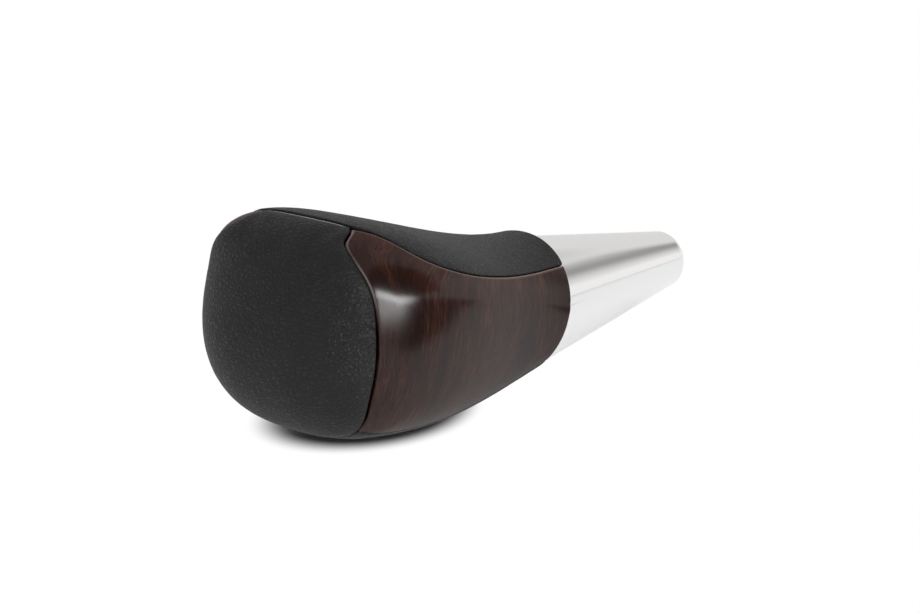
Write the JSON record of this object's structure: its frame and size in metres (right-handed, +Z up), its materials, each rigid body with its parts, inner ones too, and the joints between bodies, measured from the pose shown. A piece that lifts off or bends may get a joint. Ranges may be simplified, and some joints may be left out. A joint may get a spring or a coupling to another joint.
{
  "type": "gear shift knob",
  "caption": "Gear shift knob with a padded black leather head, dark lacquered wood side panels and a tapered chrome sleeve, threaded for a lever",
  "frame": {"origin": "centre of the box's foot, on the surface that the knob lies on", "axes": "+X from the head towards the sleeve's open tip, +Y to the left panel, +Z up"},
  "size_m": [0.1398, 0.044, 0.0424],
  "materials": {
    "leather": "satin",
    "wood": "gloss",
    "chrome": "polished",
    "core_alloy": "matte",
    "carrier_plastic": "matte",
    "pad_foam": "matte",
    "insert_steel": "satin"
  },
  "bodies": {
    "root": {"cap_leather": "leather", "front_leather": "leather", "rear_leather": "leather", "right_wood_panel": "wood", "left_wood_panel": "wood", "chrome_sleeve": "chrome", "core": "core_alloy", "cap_carrier": "carrier_plastic", "cap_pad": "pad_foam", "threaded_insert": "insert_steel"}
  },
  "joints": []
}
